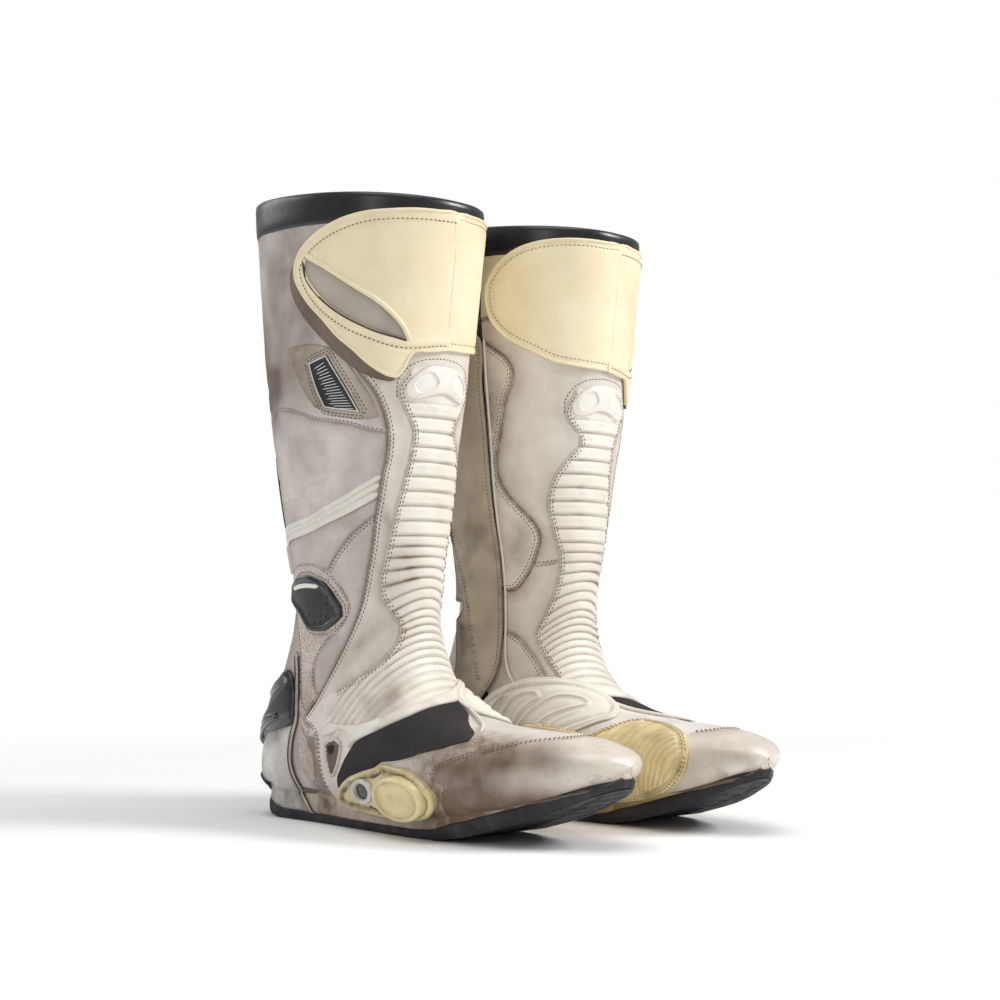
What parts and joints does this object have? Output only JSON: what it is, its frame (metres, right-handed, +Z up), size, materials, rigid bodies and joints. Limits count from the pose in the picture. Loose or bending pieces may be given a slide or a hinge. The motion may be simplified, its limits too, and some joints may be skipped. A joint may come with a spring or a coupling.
{
  "type": "riding boots",
  "caption": "Pair of tall leather riding boots with ribbed shins, wrap collars, covered side zips, heel and ankle guards and toe sliders.",
  "frame": {"origin": "centre of the pair on the floor, between the boots", "axes": "+Z up, toes towards -Y, left boot at +X, right boot at -X"},
  "size_m": [0.2946, 0.3598, 0.4507],
  "materials": {
    "outsole": "matt black",
    "insole_board": "woven board",
    "lining": "black mesh lining",
    "toe_cap": "off-white, scuffed brown",
    "vamp": "off-white, scuffed brown",
    "quarter_outer": "off-white",
    "quarter_inner": "off-white",
    "shin_panel": "off-white, ribbed",
    "calf_outer": "pinkish grey",
    "calf_inner": "off-white",
    "calf_rear": "pinkish grey",
    "zip_tape": "woven tape",
    "heel_cup": "pale, scuffed",
    "rim_cuff": "black patent",
    "heel_guard": "black",
    "shin_plate": "satin white",
    "badge": "black",
    "ankle_plate": "black",
    "toe_slider_base": "cream yellow",
    "toe_slider_disc": "cream yellow",
    "instep_band": "off-white",
    "instep_panel": "black grained",
    "ankle_pad": "moulded relief",
    "shift_pad": "ribbed, yellowed",
    "collar_band": "smooth cream",
    "zip_flap": "off-white, piped edges",
    "collar_flap": "smooth cream",
    "collar_inlay": "taupe",
    "zip_slider": "dark metal",
    "zip_pull": "dark metal"
  },
  "bodies": {
    "right_boot": {"right_outsole": "outsole", "right_insole_board": "insole_board", "right_lining": "lining", "right_toe_cap": "toe_cap", "right_vamp": "vamp", "right_quarter_outer": "quarter_outer", "right_quarter_inner": "quarter_inner", "right_shin_panel": "shin_panel", "right_calf_outer": "calf_outer", "right_calf_inner": "calf_inner", "right_calf_rear": "calf_rear", "right_zip_tape": "zip_tape", "right_heel_cup": "heel_cup", "right_rim_cuff": "rim_cuff", "right_heel_guard": "heel_guard", "right_shin_plate": "shin_plate", "right_badge": "badge", "right_ankle_plate": "ankle_plate", "right_toe_slider_base": "toe_slider_base", "right_toe_slider_disc": "toe_slider_disc", "right_instep_band": "instep_band", "right_instep_panel": "instep_panel", "right_ankle_pad": "ankle_pad", "right_shift_pad": "shift_pad", "right_collar_band": "collar_band"},
    "right_zip_flap": {"right_zip_flap": "zip_flap"},
    "right_collar_flap": {"right_collar_flap": "collar_flap", "right_collar_inlay": "collar_inlay"},
    "right_zip_slider": {"right_zip_slider": "zip_slider"},
    "right_zip_pull": {"right_zip_pull": "zip_pull"},
    "left_boot": {"left_outsole": "outsole", "left_insole_board": "insole_board", "left_lining": "lining", "left_toe_cap": "toe_cap", "left_vamp": "vamp", "left_quarter_outer": "quarter_outer", "left_quarter_inner": "quarter_inner", "left_shin_panel": "shin_panel", "left_calf_outer": "calf_outer", "left_calf_inner": "calf_inner", "left_calf_rear": "calf_rear", "left_zip_tape": "zip_tape", "left_heel_cup": "heel_cup", "left_rim_cuff": "rim_cuff", "left_heel_guard": "heel_guard", "left_shin_plate": "shin_plate", "left_badge": "badge", "left_ankle_plate": "ankle_plate", "left_toe_slider_base": "toe_slider_base", "left_toe_slider_disc": "toe_slider_disc", "left_instep_band": "instep_band", "left_instep_panel": "instep_panel", "left_ankle_pad": "ankle_pad", "left_shift_pad": "shift_pad", "left_collar_band": "collar_band"},
    "left_zip_flap": {"left_zip_flap": "zip_flap"},
    "left_collar_flap": {"left_collar_flap": "collar_flap", "left_collar_inlay": "collar_inlay"},
    "left_zip_slider": {"left_zip_slider": "zip_slider"},
    "left_zip_pull": {"left_zip_pull": "zip_pull"}
  },
  "joints": [
    {"name": "pair_slide", "type": "slide", "parent": "right_boot", "child": "left_boot", "axis": [1, 0, 0], "range_m": [0, 0.2]},
    {"name": "right_zip_flap_hinge", "type": "hinge", "parent": "right_boot", "child": "right_zip_flap", "pos_m": [-0.02604, 0.11068, 0.2157], "axis": [0.086, 0.0001, 0.9963], "range_deg": [0, 25]},
    {"name": "right_collar_hinge", "type": "hinge", "parent": "right_boot", "child": "right_collar_flap", "pos_m": [-0.07571, -0.0137, 0.35821], "axis": [-0.0016, -0.1288, 0.9917], "range_deg": [0, 90]},
    {"name": "right_zip_slide", "type": "slide", "parent": "right_boot", "child": "right_zip_slider", "axis": [-0.074, -0.0306, -0.9968], "range_m": [0, 0.115]},
    {"name": "right_zip_pull_hinge", "type": "hinge", "parent": "right_zip_slider", "child": "right_zip_pull", "pos_m": [-0.01365, 0.07485, 0.36119], "axis": [0.9972, -0.0138, -0.0736], "range_deg": [-25, 25]},
    {"name": "left_zip_flap_hinge", "type": "hinge", "parent": "left_boot", "child": "left_zip_flap", "pos_m": [0.02604, 0.09768, 0.2157], "axis": [0.086, -0.0001, -0.9963], "range_deg": [0, 25]},
    {"name": "left_collar_hinge", "type": "hinge", "parent": "left_boot", "child": "left_collar_flap", "pos_m": [0.07571, -0.0267, 0.35821], "axis": [-0.0016, 0.1288, -0.9917], "range_deg": [0, 90]},
    {"name": "left_zip_slide", "type": "slide", "parent": "left_boot", "child": "left_zip_slider", "axis": [0.074, -0.0306, -0.9968], "range_m": [0, 0.115]},
    {"name": "left_zip_pull_hinge", "type": "hinge", "parent": "left_zip_slider", "child": "left_zip_pull", "pos_m": [0.01365, 0.06185, 0.36119], "axis": [-0.9972, -0.0138, -0.0736], "range_deg": [-25, 25]}
  ]
}
